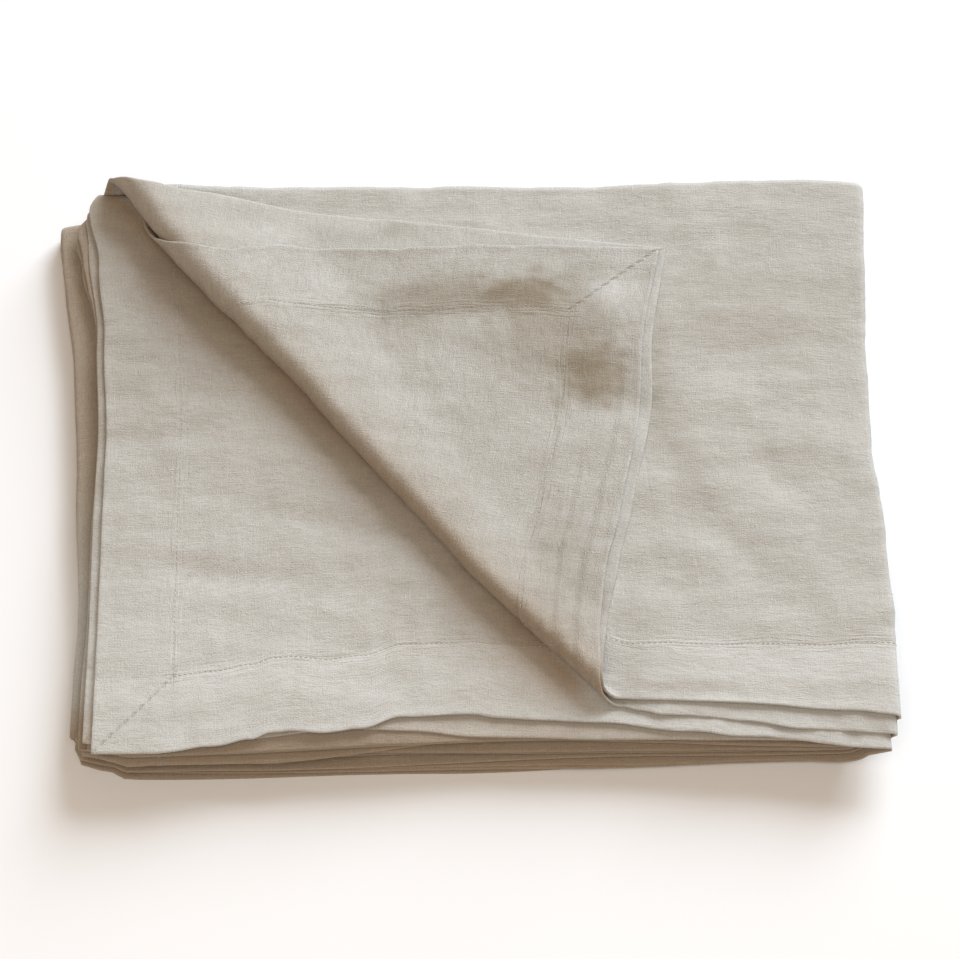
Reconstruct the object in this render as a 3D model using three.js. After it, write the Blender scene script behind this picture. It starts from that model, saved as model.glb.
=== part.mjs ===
// Folded linen tablecloth: one sheet folded in half four times into a flat stack of sixteen
// layers, with a corner of the two top layers turned back. Millimetres, +Z up.
//
// The sheet is worked out flat first, in its own coordinates u (length) and v (width). Every
// point is then carried through the folds in the order a person makes them. Each fold is a
// bend round a crease, so neighbouring layers never meet.
import * as THREE from 'three';

// ---------------------------------------------------------------- driving dimensions
const clothLength = 2000;      // u, finished size of the cloth
const clothWidth = 1530;       // v
const hemWidth = 50;           // mitred hem, turned onto the wrong side
const sheetThickness = 1.0;
const hemExtra = 0.25;         // what the turned ply adds on the wrong side
const pitch = 2.1;             // from one layer's middle to the next
const stackWidth = 499;        // folded size along X
const stackDepth = 377;        // folded size along Y
const linen = { color: 0xcbc6bc, roughness: 0.95, metalness: 0 };

// Mesh fineness
const linesAcross = { x: 7, y: 5 };
const cellAlongHem = 40;
const cellAlongRoll = 45;
const wideTurn = 6.5;

// ---------------------------------------------------------------- creases
// A crease is where a fold starts. Layers wrap round it at half a pitch, one and a half, ...
const halfTurn = Math.PI;
const wrap = (layersAbove) => (layersAbove + 0.5) * pitch;
const crease = {
  first: (clothWidth - halfTurn * wrap(0)) / 2,          // across the width, one layer
  second: (clothLength - halfTurn * wrap(0)) / 2,        // across the length, two layers
  third: stackDepth - wrap(3) - sheetThickness / 2,      // across the width, four layers
  fourth: stackWidth - wrap(7) - sheetThickness / 2,     // across the length, eight layers
};
const evenedOver = 330;        // run over which the layers of a thick fold slip level again

// ---------------------------------------------------------------- how the edges really lie
// 'at' is the place along an edge of the flat cloth, 'out' how far the edge stands outside
// the straight rectangle there.
const leftHem = [              // the edge u = 0: layers 1, 8, 7 and 2 of the stack
  { at: 0, out: 13.5 }, { at: 100, out: 12 }, { at: 200, out: 11 }, { at: 290, out: 11.5 },
  { at: 330, out: 8 }, { at: 350, out: 6.5 }, { at: 380, out: 5 }, { at: 480, out: 6 },
  { at: 640, out: -1 }, { at: 765, out: 0 }, { at: 886, out: -1 }, { at: 1044, out: 6 },
  { at: 1100, out: 4 }, { at: 1150, out: -14 }, { at: 1225, out: -28.5 },
  { at: 1240, out: -29.5 }, { at: 1256, out: -28.5 }, { at: 1273, out: -22 },
  { at: 1290, out: -15.5 }, { at: 1358, out: -8.5 }, { at: 1383, out: -3.5 },
  { at: 1420, out: 3 }, { at: 1470, out: 9.5 }, { at: 1530, out: 15 },
];
const rightHem = [             // the edge u = length: layers 4, 5, 6 and 3
  { at: 0, out: 6 }, { at: 190, out: 8 }, { at: 264, out: 12 }, { at: 340, out: 20 },
  { at: 358, out: 22 }, { at: 372, out: 15 }, { at: 386, out: 26 }, { at: 409, out: 23.5 },
  { at: 433, out: 20 }, { at: 453, out: 16.5 }, { at: 481, out: 12 }, { at: 640, out: 6 },
  { at: 765, out: 3 }, { at: 970, out: 4 }, { at: 1060, out: 10 }, { at: 1115, out: 17.5 },
  { at: 1134, out: 20 }, { at: 1144, out: 10 }, { at: 1152, out: 6.5 },
  { at: 1170, out: 13.5 }, { at: 1211, out: 5.5 }, { at: 1269, out: -0.5 },
  { at: 1340, out: -5 }, { at: 1530, out: -6.5 },
];
const nearHem = [              // the edge v = 0: layers 1, 16, 13 and 4
  { at: 0, out: -4 }, { at: 60, out: -5 }, { at: 120, out: 1 }, { at: 180, out: -2 },
  { at: 220, out: -5 }, { at: 260, out: -8 }, { at: 295, out: -8 }, { at: 308, out: -7 },
  { at: 324, out: -5 }, { at: 337, out: -4.5 }, { at: 350, out: -4 }, { at: 375, out: -3 },
  { at: 400, out: -2.5 }, { at: 465, out: 1 }, { at: 500, out: 4 }, { at: 528, out: 12 },
  { at: 560, out: 17 }, { at: 606, out: 21 }, { at: 773, out: 29 }, { at: 945, out: 33 },
  { at: 1100, out: 30 }, { at: 1391, out: 20 }, { at: 1605, out: 17 }, { at: 1684, out: 16 },
  { at: 1764, out: 14.5 }, { at: 1805, out: 11 }, { at: 1840, out: 10 },
  { at: 1910, out: 17 }, { at: 2000, out: 22 },
];
const farHem = [               // the edge v = width: layers 2, 15, 14 and 3
  { at: 0, out: -4 }, { at: 60, out: -6.5 }, { at: 120, out: -2 }, { at: 180, out: -4.5 },
  { at: 220, out: -8 }, { at: 260, out: -8 }, { at: 295, out: -5 }, { at: 308, out: -3.5 },
  { at: 324, out: -1 }, { at: 337, out: 2 }, { at: 350, out: 5 }, { at: 364, out: 5.5 },
  { at: 378, out: 6.5 }, { at: 400, out: 8.5 }, { at: 437, out: 13 }, { at: 505, out: 15 },
  { at: 540, out: 22 }, { at: 700, out: 27 }, { at: 896, out: 30 }, { at: 1100, out: 28 },
  { at: 1345, out: 25 }, { at: 1450, out: 22 }, { at: 1510, out: 24 }, { at: 1598, out: 16 },
  { at: 1630, out: 12.5 }, { at: 1684, out: 6 }, { at: 1720, out: 4.5 }, { at: 1745, out: 3 },
  { at: 1762, out: 0.5 }, { at: 1805, out: 2.5 }, { at: 1832, out: 11 },
  { at: 1856, out: 14 }, { at: 1875, out: 12.5 }, { at: 1888, out: 13.5 },
  { at: 1901, out: 18 }, { at: 1926, out: 23 }, { at: 1960, out: 28 },
  { at: 2000, out: 28.5 },
];
const firstFoldLine = [        // the first fold's edge, along u: layers 7-8, 9-12, 5-6
  { at: 0, out: 16 }, { at: 100, out: 14 }, { at: 260, out: -2 }, { at: 480, out: 3 },
  { at: 800, out: 5 }, { at: 1000, out: 13 }, { at: 1250, out: 4 }, { at: 1700, out: 0 },
  { at: 2000, out: 12 },
];
const secondFoldLine = [       // the second fold's edge, along v: layers 13-16, then 9-12
  { at: 0, out: -10 }, { at: 380, out: 14 }, { at: 765, out: -7 },
];
const rightOutline = [         // the folded stack's right side, along Y
  { at: 0, out: -1 }, { at: 60, out: -1 }, { at: 120, out: -3.5 }, { at: 185, out: -9 },
  { at: 258, out: -9 }, { at: 320, out: -7 }, { at: 383, out: -5 },
];
const farOutline = [           // and its far side, along X
  { at: 60, out: -1 }, { at: 290, out: 0 }, { at: 450, out: 6 }, { at: 512, out: 2 },
];
const lowerLeft = [            // the lower layers' left side, to the right, along Y
  { at: 0, out: 0 }, { at: 60, out: 3 }, { at: 120, out: 2.5 }, { at: 190, out: 5.5 },
  { at: 260, out: 6 }, { at: 330, out: 0.5 }, { at: 355, out: -3.5 },
];
const lowerNear = [            // and their left end in from the near side, along X
  { at: -30, out: 14 }, { at: 30, out: 0 },
];
const lowerFar = [             // and in from the far side
  { at: -40, out: 16 }, { at: 20, out: 0 },
];
const lean = { top: 0.3, foot: 0.02 };  // the right side leans out at the top, in at the foot
const edgeReach = 250;         // how far in from an edge its waver dies out

// ---------------------------------------------------------------- the turned-back corner
const turnBack = {
  nearEnd: { x: 324.4, y: 5 },           // where its crease meets the near edge
  farEnd: { x: 19.5, y: 361.6 },         // and the far left corner
  nearRadius: 4.5,                       // inside radius of the roll at either end
  farRadius: 10.5,
  descent: 0.22,                         // how steeply it comes down behind the roll, rad
  landing: 60,                           // radius with which it eases onto the stack
  bowReach: 120,                         // how far into the flap the roll's bow dies out
};
const rollBow = [              // how far the roll bows towards the corner, along it
  { at: 0, out: -5 }, { at: 30, out: -2.5 }, { at: 75, out: 1 }, { at: 105, out: 4 },
  { at: 155, out: 3 }, { at: 200, out: 2.5 }, { at: 240, out: 2 }, { at: 297, out: -0.5 },
  { at: 355, out: 1 }, { at: 412, out: 0.5 }, { at: 440, out: -0.5 }, { at: 469, out: -4 },
];

// ---------------------------------------------------------------- small helpers
const clamp01 = (value) => Math.min(1, Math.max(0, value));
const ease = (value) => (1 - Math.cos(Math.PI * clamp01(value))) / 2;

// Value of a table at a place, eased between its rows.
function along(table, place) {
  if (place <= table[0].at) return table[0].out;
  for (let i = 1; i < table.length; i += 1) {
    if (place <= table[i].at) {
      const share = ease((place - table[i - 1].at) / (table[i].at - table[i - 1].at));
      return table[i - 1].out + (table[i].out - table[i - 1].out) * share;
    }
  }
  return table[table.length - 1].out;
}

// ---------------------------------------------------------------- one fold
// Carries a point past a crease across 'axis' ('x' or 'y'), under the layers already there.
// A pressed fold's section stands out further than a round one, by the powers 'pressed' for
// its upper and lower halves.
function foldUnder(point, axis, creaseAt, layers, evened = null, pressed = [2, 2]) {
  const past = point[axis] - creaseAt;
  if (past <= 0) return 0;
  const turningPoint = -(layers - 0.5) * pitch;
  const radius = point.z - turningPoint;
  const angle = past / radius;
  if (angle < halfTurn) {
    const power = pressed[angle < halfTurn / 2 ? 0 : 1];
    const section = radius
      * (Math.sin(angle) ** power + Math.abs(Math.cos(angle)) ** power) ** (-1 / power);
    point[axis] = creaseAt + section * Math.sin(angle);
    point.z = turningPoint + section * Math.cos(angle);
    return angle;
  }
  const run = past - halfTurn * radius;
  const slip = evened === null ? 0 : (evened - radius) * ease(run / evenedOver);
  point[axis] = creaseAt - run + halfTurn * slip;
  point.z = turningPoint - radius;
  return halfTurn;
}

// ---------------------------------------------------------------- the turned-back corner
const rollAxis = new THREE.Vector2(
  turnBack.farEnd.x - turnBack.nearEnd.x, turnBack.farEnd.y - turnBack.nearEnd.y);
const rollLength = rollAxis.length();
rollAxis.normalize();
const towardsCorner = new THREE.Vector2(-rollAxis.y, rollAxis.x);

// Lengths of the roll's section for a layer (0 = top layer, 1 = the one below, outside it).
function rollSection(t, layer) {
  const { nearRadius, farRadius, descent, landing } = turnBack;
  const share = t / rollLength;
  const radius = nearRadius + (farRadius - nearRadius) * Math.max(0, share) ** 2 + layer * pitch;
  const ease3 = landing - layer * pitch;
  const rise = (1 + 2 * layer) * pitch;
  const slope = (radius * (1 + Math.cos(descent)) - ease3 * (1 - Math.cos(descent)) - rise)
    / Math.sin(descent);
  return { radius, ease3, rise, slope: Math.max(0, slope), arc: radius * (halfTurn + descent) };
}

// Where a point 'past' the crease goes: across (towards the corner) and up.
function rollOver(past, t, layer) {
  const { descent } = turnBack;
  const { radius, ease3, rise, slope, arc } = rollSection(t, layer);
  if (past < arc) {
    const angle = past / radius;
    return { across: radius * Math.sin(angle), up: radius * (1 - Math.cos(angle)) };
  }
  const top = { across: -radius * Math.sin(descent), up: radius * (1 + Math.cos(descent)) };
  let run = past - arc;
  if (run < slope) {
    return { across: top.across - run * Math.cos(descent), up: top.up - run * Math.sin(descent) };
  }
  run -= slope;
  const foot = { across: top.across - slope * Math.cos(descent),
    up: top.up - slope * Math.sin(descent) };
  if (run < ease3 * descent) {
    const left = descent - run / ease3;
    return {
      across: foot.across - ease3 * (Math.sin(descent) - Math.sin(left)),
      up: rise + ease3 * (1 - Math.cos(left)),
    };
  }
  run -= ease3 * descent;
  return { across: foot.across - ease3 * Math.sin(descent) - run, up: rise };
}

// Distances along and past the turned-back corner's crease.
function rollPlace(x, y) {
  const dx = x - turnBack.nearEnd.x;
  const dy = y - turnBack.nearEnd.y;
  return {
    t: dx * rollAxis.x + dy * rollAxis.y,
    past: dx * towardsCorner.x + dy * towardsCorner.y,
  };
}

const bowAt = (t, across) => (
  along(rollBow, t) * (1 - ease((-5 - Math.min(across, 0)) / turnBack.bowReach)));

function turnCornerBack(point, layer, share) {
  const { t, past } = rollPlace(point.x, point.y);
  const to = past > 0 ? rollOver(past, t, layer) : { across: past, up: 0 };
  const move = (to.across + bowAt(t, to.across) - past) * share;
  point.x += towardsCorner.x * move;
  point.y += towardsCorner.y * move;
  point.z += to.up * share;
}

// ---------------------------------------------------------------- the whole folded sheet
const folds = [
  { axis: 'y', at: crease.first, layers: 1, line: firstFoldLine, lineAlong: 'x' },
  { axis: 'x', at: crease.second, layers: 2, line: secondFoldLine, lineAlong: 'y',
    pressed: [4, 3] },
  { axis: 'y', at: crease.third, layers: 4, evened: wrap(1), pressed: [3, 2.5] },
  { axis: 'x', at: crease.fourth, layers: 8, evened: wrap(2.5), pressed: [5, 2.2] },
];
const near = (distance) => 1 - ease(distance / edgeReach);

// Where a point of the sheet lies before the fold with the given number (0 to 3).
function beforeFold(number, u, v) {
  const point = new THREE.Vector3(
    u - along(leftHem, v) * near(u) + along(rightHem, v) * near(clothLength - u),
    v - along(nearHem, u) * near(v) + along(farHem, u) * near(clothWidth - v),
    0,
  );
  point.turn = 0;
  for (const fold of folds.slice(0, number)) {
    point.layer = Math.round(-point.z / pitch);
    point.turn = foldUnder(point, fold.axis, fold.at, fold.layers, fold.evened, fold.pressed);
    if (fold.line) {
      const reach = near(fold.at - 20 - point[fold.axis]);
      point[fold.axis] += along(fold.line, point[fold.lineAlong]) * reach;
    }
  }
  return point;
}

// The folded stack before its corner is turned back. 'share' is how much of that turn a point
// takes: all of it in the two top layers, less and less down the far fold.
function stacked(u, v) {
  const point = beforeFold(3, u, v);
  const { layer, turn } = point;
  const last = folds[3];
  const lastTurn = foldUnder(
    point, last.axis, last.at, last.layers, last.evened, last.pressed);
  const up = point.z + wrap(7);
  const leaning = lean.top * up - lean.foot * Math.min(up, 0) ** 2;
  point.x += (along(rightOutline, point.y) + leaning) * near(crease.fourth - point.x);
  point.y += along(farOutline, point.x) * near(crease.third - point.y);
  const deep = ease((-point.z - 2) / 30);
  point.x += deep * along(lowerLeft, point.y) * near(point.x);
  point.y += deep * along(lowerNear, point.x) * near(point.y)
    - deep * along(lowerFar, point.x) * near(crease.third - point.y);
  point.layer = layer;
  point.share = layer < 2 && lastTurn === 0 ? (1 + Math.cos(turn)) / 2 : 0;
  return point;
}

// The stack's upper layers lie a little uneven. The lower ones rest flat.
function unevenness({ x, y, z }) {
  const wave = 0.9 * Math.sin(x / 71 + 0.6) * Math.sin(y / 58 + 1.1)
    + 0.7 * Math.sin((x + y) / 96 + 2);
  const rollTip = 5 * Math.exp(-(((x - 15) / 10) ** 2) - ((y - 375) / 25) ** 2) * ease(z / 14);
  return wave * clamp01(1 + (z + 2 * pitch) / (6 * pitch)) + rollTip;
}

// The sheet's middle surface, all folded.
function folded(u, v) {
  const point = stacked(u, v);
  if (point.share > 0) turnCornerBack(point, point.layer, point.share);
  point.z += unevenness(point);
  return point;
}

// ---------------------------------------------------------------- cells of the flat sheet
// The flat rectangle is cut into convex cells. A cut leaves its new corners in the cells on
// both sides of an edge, so the finished mesh has no gaps.
const corners = [[0, 0], [clothLength, 0], [clothLength, clothWidth], [0, clothWidth]];
let cells = [[0, 1, 2, 3]];
const splitEdges = new Map();
const edgeKey = (a, b) => (a < b ? `${a}_${b}` : `${b}_${a}`);

// The corner where 'value' is nought between two corners.
function zeroBetween(a, b, value) {
  let low = corners[a];
  let high = corners[b];
  const lowSign = Math.sign(value(...low));
  for (let step = 0; step < 30; step += 1) {
    const middle = [(low[0] + high[0]) / 2, (low[1] + high[1]) / 2];
    if (Math.sign(value(...middle)) === lowSign) low = middle;
    else high = middle;
  }
  corners.push([(low[0] + high[0]) / 2, (low[1] + high[1]) / 2]);
  return corners.length - 1;
}

function splitCell(cell, value) {
  const sides = cell.map((id) => {
    const amount = value(...corners[id]);
    return Math.abs(amount) < 0.05 ? 0 : Math.sign(amount);
  });
  if (!sides.includes(1) || !sides.includes(-1)) return [cell];
  const positive = [];
  const negative = [];
  cell.forEach((id, i) => {
    const next = (i + 1) % cell.length;
    if (sides[i] >= 0) positive.push(id);
    if (sides[i] <= 0) negative.push(id);
    if (sides[i] * sides[next] < 0) {
      const key = edgeKey(id, cell[next]);
      if (!splitEdges.has(key)) splitEdges.set(key, zeroBetween(id, cell[next], value));
      positive.push(splitEdges.get(key));
      negative.push(splitEdges.get(key));
    }
  });
  return positive.length > 2 && negative.length > 2 ? [positive, negative] : [cell];
}

// Puts the new corners of split edges into every cell that has the edge.
function shareNewCorners() {
  for (const [index, cell] of cells.entries()) {
    let full = cell;
    let changed = true;
    while (changed) {
      changed = false;
      const grown = [];
      full.forEach((id, i) => {
        grown.push(id);
        const between = splitEdges.get(edgeKey(id, full[(i + 1) % full.length]));
        if (between !== undefined) {
          grown.push(between);
          changed = true;
        }
      });
      full = grown;
    }
    cells[index] = full;
  }
}

const middleOf = (cell) => [0, 1].map(
  (axis) => cell.reduce((sum, id) => sum + corners[id][axis], 0) / cell.length);

// Cuts the cells for which 'wanted' holds along the line where 'value' is nought.
function cut(value, wanted = () => true) {
  cells = cells.flatMap((cell) => (wanted(...middleOf(cell), cell) ? splitCell(cell, value) : [cell]));
  shareNewCorners();
}

// Round every fold: wide turns are cut into eight steps, tight ones into four.
folds.forEach(({ axis, at, layers }, number) => {
  const radiusOf = (point) => point.z + (layers - 0.5) * pitch;
  for (let step = 0; step <= 8; step += 1) {
    const angle = halfTurn * (step / 8);
    cut((u, v) => {
      const point = beforeFold(number, u, v);
      return point[axis] - at - angle * radiusOf(point);
    }, (u, v) => step % 2 === 0 || radiusOf(beforeFold(number, u, v)) > wideTurn);
  }
});

// Along lines of the folded stack, the same in every layer.
for (let line = 1; line < linesAcross.x; line += 1) {
  cut((u, v) => stacked(u, v).x - stackWidth * (line / linesAcross.x));
}
for (let line = 1; line < linesAcross.y; line += 1) {
  cut((u, v) => stacked(u, v).y - stackDepth * (line / linesAcross.y));
}

// The hem's second ply ends along its stitching.
const fromEdge = (u, v) => Math.min(u, clothLength - u, v, clothWidth - v);
for (const line of [hemWidth, clothLength - hemWidth]) cut((u) => u - line);
for (const line of [hemWidth, clothWidth - hemWidth]) cut((u, v) => v - line);

// Halves the cells that are wider than 'limitAt' allows.
function halveCells(limitAt) {
  for (const axis of [0, 1]) {
    for (let again = true; again;) {
      again = false;
      cells = cells.flatMap((cell) => {
        const places = cell.map((id) => corners[id][axis]);
        const low = Math.min(...places);
        const high = Math.max(...places);
        if (high - low <= limitAt(...middleOf(cell))[axis]) return [cell];
        again = true;
        const middle = (low + high) / 2;
        return splitCell(cell, (...at) => at[axis] - middle);
      });
      shareNewCorners();
    }
  }
}

// The front hem edges that show are cut finer along their length.
const any = clothLength;
const frontShows = (u) => u < crease.fourth || u > clothLength - crease.fourth;
halveCells((u, v) => (
  (v < hemWidth || v > clothWidth - hemWidth) && frontShows(u) ? [cellAlongHem, any] : [any, any]));

// The two top layers are cut along the turned-back corner's roll, at even steps of its turn.
const rollAt = (u, v) => {
  const { x, y, layer, share } = stacked(u, v);
  return { ...rollPlace(x, y), layer: share > 0 ? layer : -1 };
};
halveCells((u, v) => {
  const { past, layer } = rollAt(u, v);
  return layer >= 0 && past > -40 && past < 110 ? [cellAlongRoll, cellAlongRoll] : [any, any];
});
for (const which of [0, 1]) {
  const stepTo = (t, step) => {
    const { arc, slope, ease3 } = rollSection(t, which);
    if (step <= 6) return arc * (step / 6);
    return arc + slope + (step > 7 ? ease3 * turnBack.descent : 0);
  };
  for (let step = 0; step <= 8; step += 1) {
    cut((u, v) => {
      const { t, past } = rollAt(u, v);
      return past - stepTo(t, step);
    }, (u, v) => rollAt(u, v).layer === which);
  }
}

// ---------------------------------------------------------------- triangles of the cells
// Clips the best-shaped ear again and again. A cell is convex, with some corners in a row.
function triangulate(cell) {
  const triangles = [];
  const ring = [...cell];
  const cross = (a, b, c) => (corners[b][0] - corners[a][0]) * (corners[c][1] - corners[a][1])
    - (corners[b][1] - corners[a][1]) * (corners[c][0] - corners[a][0]);
  const area = (ids) => ids.slice(2).reduce((sum, id, i) => sum + cross(ids[0], ids[i + 1], id), 0);
  const gap = (a, b) => Math.hypot(corners[a][0] - corners[b][0], corners[a][1] - corners[b][1]);
  while (ring.length > 3) {
    let best = null;
    ring.forEach((id, i) => {
      const before = ring[(i + ring.length - 1) % ring.length];
      const after = ring[(i + 1) % ring.length];
      const twice = cross(before, id, after);
      if (twice < 1e-4) return;
      const rest = ring.filter((other) => other !== id);
      if (area(rest) < 1e-4) return;
      const longest = Math.max(gap(before, id), gap(id, after), gap(before, after));
      const quality = twice / (longest * longest);
      if (best === null || quality > best.quality) best = { i, quality, ids: [before, id, after] };
    });
    if (best === null) break;
    triangles.push(best.ids);
    ring.splice(best.i, 1);
  }
  triangles.push(ring.slice(0, 3));
  return triangles;
}

// ---------------------------------------------------------------- thickness and rim
const bottomOfStack = -15 * pitch - sheetThickness / 2;

function faceNormal(u, v) {
  const step = 0.15;
  const du = folded(Math.min(u + step, clothLength), v).sub(folded(Math.max(u - step, 0), v));
  const dv = folded(u, Math.min(v + step, clothWidth)).sub(folded(u, Math.max(v - step, 0)));
  return du.cross(dv).normalize();
}

// Both faces over a corner of the flat mesh. The wrong side carries the turned hem.
function bothFaces([u, v]) {
  const middle = folded(u, v);
  const normal = faceNormal(u, v);
  const extra = fromEdge(u, v) < hemWidth - 0.5 ? hemExtra : 0;
  const wrongSide = middle.clone().addScaledVector(normal, sheetThickness / 2 + extra);
  const rightSide = middle.clone().addScaledVector(normal, -sheetThickness / 2);
  for (const face of [wrongSide, rightSide]) face.z = Math.max(face.z, bottomOfStack);
  return [wrongSide, rightSide];
}

const positions = [];
const index = [];
for (const corner of corners) {
  for (const face of bothFaces(corner)) positions.push(face.x, face.y, face.z);
}
const openEdges = new Map();
for (const cell of cells) {
  for (const [a, b, c] of triangulate(cell)) {
    index.push(2 * a, 2 * b, 2 * c, 2 * a + 1, 2 * c + 1, 2 * b + 1);
    for (const [from, to] of [[a, b], [b, c], [c, a]]) {
      if (!openEdges.delete(`${to}_${from}`)) openEdges.set(`${from}_${to}`, [from, to]);
    }
  }
}
for (const [from, to] of openEdges.values()) {
  index.push(2 * from, 2 * from + 1, 2 * to, 2 * to, 2 * from + 1, 2 * to + 1);
}

const geometry = new THREE.BufferGeometry();
geometry.setAttribute('position', new THREE.Float32BufferAttribute(positions, 3));
geometry.setIndex(index);
geometry.computeBoundingBox();
const { min, max } = geometry.boundingBox;
geometry.translate(-(min.x + max.x) / 2, -(min.y + max.y) / 2, -min.z);
geometry.computeVertexNormals();

const cloth = new THREE.Mesh(geometry, new THREE.MeshStandardMaterial(linen));
cloth.name = 'tablecloth';
const group = new THREE.Group();
group.name = 'folded_tablecloth';
group.add(cloth);
export default group;
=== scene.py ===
# %% [markdown]
# # A folded linen tablecloth
# One rectangular sheet of washed linen with a wide mitred hem, folded in half four times and
# laid on a table, a corner of its two top layers turned back. We start from the imported model,
# which says where the cloth is and how big.

# %% Load the frame
import math

import bmesh
import bpy
import numpy as np
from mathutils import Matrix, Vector


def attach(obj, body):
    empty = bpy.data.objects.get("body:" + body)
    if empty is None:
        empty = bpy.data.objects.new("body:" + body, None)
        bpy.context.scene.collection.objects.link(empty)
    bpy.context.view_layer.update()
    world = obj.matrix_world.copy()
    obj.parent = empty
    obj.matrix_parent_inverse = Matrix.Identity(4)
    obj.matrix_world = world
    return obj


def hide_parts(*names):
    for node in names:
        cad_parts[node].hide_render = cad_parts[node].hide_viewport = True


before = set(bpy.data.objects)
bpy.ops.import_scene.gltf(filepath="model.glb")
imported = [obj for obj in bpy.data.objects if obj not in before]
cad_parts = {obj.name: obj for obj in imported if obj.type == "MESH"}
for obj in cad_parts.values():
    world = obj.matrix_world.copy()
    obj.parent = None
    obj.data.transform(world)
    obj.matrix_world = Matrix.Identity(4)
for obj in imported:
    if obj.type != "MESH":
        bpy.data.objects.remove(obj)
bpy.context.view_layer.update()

# %% [markdown]
# ## The camera
# The cloth is seen from the front, well above it, through a long lens. We make the camera
# first, so every later look is from the same place.

# %% Camera
MM = 0.001                                   # everything below is worked out in millimetres
LOOK_AT = Vector((7.7, -0.9, 0.0)) * MM
CAMERA_DISTANCE, CAMERA_HEIGHT = 2.3, math.radians(63)   # metres, and the angle above level
SENSOR, FOCAL_LENGTH = 36, 134.25            # of the lens, in millimetres

lens = bpy.data.cameras.new("front_view")
camera = bpy.data.objects.new("front_view", lens)
bpy.context.scene.collection.objects.link(camera)
camera.location = LOOK_AT + CAMERA_DISTANCE * Vector(
    (0, -math.cos(CAMERA_HEIGHT), math.sin(CAMERA_HEIGHT)))
camera.rotation_euler = (math.pi / 2 - CAMERA_HEIGHT, 0, 0)
lens.sensor_width, lens.lens = SENSOR, FOCAL_LENGTH
bpy.context.scene.camera = camera
print("camera at", np.round(camera.location, 3))

# %% [markdown]
# ## Sizes
# `u` runs along the unfolded cloth's length and `v` along its width. A layer lies one pitch
# under the last. The folds start at creases: across the width, across the length, and again.

# %% Sizes of the cloth and its stack
CLOTH_LENGTH, CLOTH_WIDTH = 2000.0, 1530.0
HEM_WIDTH = 50.0
THICKNESS = 0.8                              # one ply, with a little air in it
HEM_EXTRA = 0.35                             # what the turned plies add on the wrong side
PITCH, LAYERS = 2.1, 16                      # from one layer to the next, and how many lie there
STACK_WIDTH, STACK_DEPTH = 499.0, 377.0
EDGE_REACH = 250.0                           # how far in an edge's waver dies out
EVENED_OVER = 330.0                          # run over which thick folds slip level again


def wrap_radius(layers_above):
    return (layers_above + 0.5) * PITCH


FIRST = (CLOTH_WIDTH - math.pi * wrap_radius(0)) / 2
SECOND = (CLOTH_LENGTH - math.pi * wrap_radius(0)) / 2
THIRD = STACK_DEPTH - wrap_radius(3) - 0.5
FOURTH = STACK_WIDTH - wrap_radius(7) - 0.5
print("creases at v", round(FIRST, 1), round(THIRD, 1), "and u", round(SECOND, 1), round(FOURTH, 1))

# %% [markdown]
# ## How the edges lie
# Nobody folds linen to the millimetre. Each table says how far an edge stands out of the
# straight rectangle, `out`, at places `at` along it. Both folding and hem edges have one.

# %% Tables of the wavering edges
LEFT_HEM = {"at": [0, 100, 200, 290, 330, 350, 380, 480, 640, 765, 886, 1044, 1100, 1150,
                   1225, 1240, 1256, 1273, 1290, 1358, 1383, 1420, 1470, 1530],
            "out": [13.5, 12, 11, 11.5, 8, 6.5, 5, 6, -1, 0, -1, 6, 4, -14, -28.5, -29.5,
                    -28.5, -22, -15.5, -8.5, -3.5, 3, 9.5, 15]}
RIGHT_HEM = {"at": [0, 190, 264, 340, 358, 372, 386, 409, 433, 453, 481, 640, 765, 970,
                    1060, 1115, 1134, 1144, 1152, 1170, 1211, 1269, 1340, 1530],
             "out": [6, 8, 12, 20, 22, 15, 26, 23.5, 20, 16.5, 12, 6, 3, 4,
                     10, 17.5, 20, 10, 6.5, 13.5, 5.5, -0.5, -5, -6.5]}
NEAR_HEM = {"at": [0, 60, 120, 180, 220, 260, 295, 308, 324, 337, 350, 375, 400, 465, 500,
                   528, 560, 606, 773, 945, 1100, 1391, 1605, 1684, 1764, 1805,
                   1840, 1910, 2000],
            "out": [-4, -5, 1, -2, -5, -8, -8, -7, -5, -4.5, -4, -3, -2.5, 1, 4, 12, 17,
                    21, 29, 33, 30, 20, 17, 16, 14.5, 11, 10, 17, 22]}
FAR_HEM = {"at": [0, 60, 120, 180, 220, 260, 295, 308, 324, 337, 350, 364, 378, 400, 437,
                  505, 540, 700, 896, 1100, 1345, 1450, 1510, 1598, 1630, 1684,
                  1720, 1745, 1762, 1805, 1832, 1856, 1875, 1888, 1901, 1926,
                  1960, 2000],
           "out": [-4, -6.5, -2, -4.5, -8, -8, -5, -3.5, -1, 2, 5, 5.5, 6.5, 8.5, 13, 15,
                   22, 27, 30, 28, 25, 22, 24, 16, 12.5, 6, 4.5, 3, 0.5, 2.5,
                   11, 14, 12.5, 13.5, 18, 23, 28, 28.5]}
# right of the roll the near hem's seam, but not its edge, moves: below nought towards the edge
SEAM_CENTRE, SEAM_FADE = 55.0, 160.0         # full at this distance in, gone this much further
NEAR_HEM_SEAM = {"at": [300, 335, 380, 440, 505, 540], "out": [0, -10, -9, -5, 0, 0]}
FIRST_FOLD_LINE = {"at": [0, 100, 260, 480, 800, 1000, 1250, 1700, 2000],
                   "out": [16, 14, -2, 3, 5, 13, 4, 0, 12]}
SECOND_FOLD_LINE = {"at": [0, 380, 765], "out": [-10, 14, -7]}
RIGHT_OUTLINE = {"at": [0, 60, 120, 185, 258, 320, 383], "out": [-1, -1, -3.5, -9, -9, -7, -5]}
FAR_OUTLINE = {"at": [60, 290, 450, 512], "out": [-1, 0, 6, 2]}
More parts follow.
